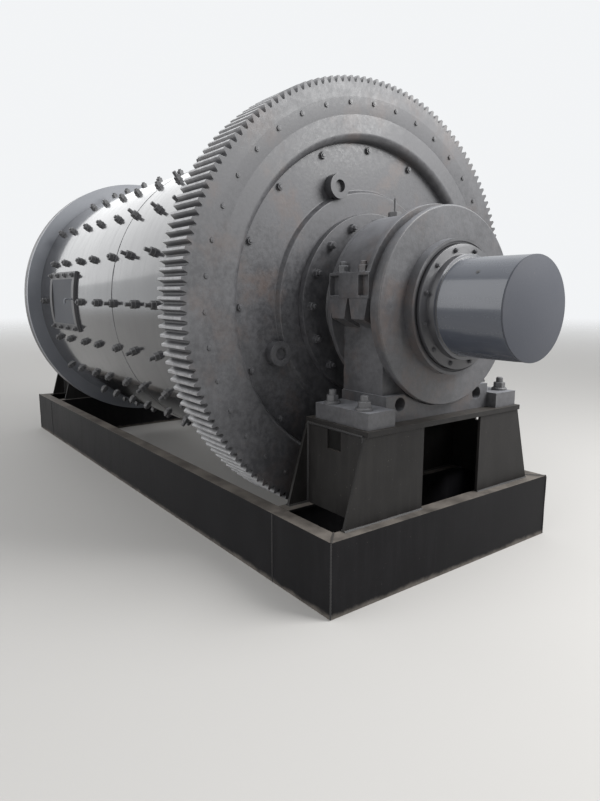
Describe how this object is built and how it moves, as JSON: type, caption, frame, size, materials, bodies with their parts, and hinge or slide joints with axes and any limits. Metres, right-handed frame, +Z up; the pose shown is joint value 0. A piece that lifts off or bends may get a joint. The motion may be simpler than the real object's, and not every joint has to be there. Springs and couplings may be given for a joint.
{
  "type": "ball mill",
  "caption": "Grinding drum with a girth gear and end tubes, turning in two trunnion bearings on pedestals over a channel-beam base frame.",
  "frame": {"origin": "on the ground, under the middle of the drum's axis", "axes": "+X along the drum's axis towards the gear end, +Y to the side away from the manhole, +Z up"},
  "size_m": [5.374, 2.274, 2.437],
  "materials": {
    "frame_paint": "black paint, semi-gloss, with dust on the upper faces",
    "pedestal_paint": "black paint, semi-gloss, a little dusty",
    "bearing_paint": "black paint, satin, over a cast surface",
    "bush_metal": "bearing bronze",
    "head_paint": "black paint, satin, over a cast surface",
    "gear_paint": "dark grey paint, satin, teeth brushed with the same paint",
    "shell_paint": "glossy black paint",
    "tube_paint": "glossy blue-black paint"
  },
  "bodies": {
    "base": {"side_beam_left": "frame_paint", "side_beam_right": "frame_paint", "drive_end_beam": "frame_paint", "tail_end_beam": "frame_paint", "drive_cross_beam": "frame_paint", "tail_cross_beam": "frame_paint", "drive_pedestal_outer_plate": "pedestal_paint", "drive_pedestal_inner_plate": "pedestal_paint", "drive_pedestal_webs": "pedestal_paint", "drive_top_plate": "pedestal_paint", "tail_pedestal_outer_plate": "pedestal_paint", "tail_pedestal_inner_plate": "pedestal_paint", "tail_pedestal_webs": "pedestal_paint", "tail_top_plate": "pedestal_paint", "drive_bearing_housing": "bearing_paint", "drive_bearing_cap": "bearing_paint", "drive_bearing_bush": "bush_metal", "drive_bearing_outer_cover": "bearing_paint", "drive_bearing_inner_cover": "bearing_paint", "tail_bearing_housing": "bearing_paint", "tail_bearing_cap": "bearing_paint", "tail_bearing_bush": "bush_metal", "tail_bearing_outer_cover": "bearing_paint", "tail_bearing_inner_cover": "bearing_paint"},
    "drum": {"shell": "shell_paint", "drive_shell_flange": "shell_paint", "tail_shell_flange": "shell_paint", "drive_head": "head_paint", "tail_head": "head_paint", "drive_head_eyes": "head_paint", "tail_head_eyes": "head_paint", "drive_trunnion": "head_paint", "tail_trunnion": "head_paint", "girth_gear": "gear_paint", "drive_tube": "tube_paint", "tail_tube": "tube_paint", "drive_tube_plate": "tube_paint", "tail_tube_plate": "tube_paint", "manhole_frame": "shell_paint", "manhole_door": "shell_paint", "manhole_handle": "shell_paint"}
  },
  "joints": [
    {"name": "drum_spin", "type": "hinge", "parent": "base", "child": "drum", "pos_m": [0, 0, 1.3], "axis": [1, 0, 0], "continuous": true}
  ]
}
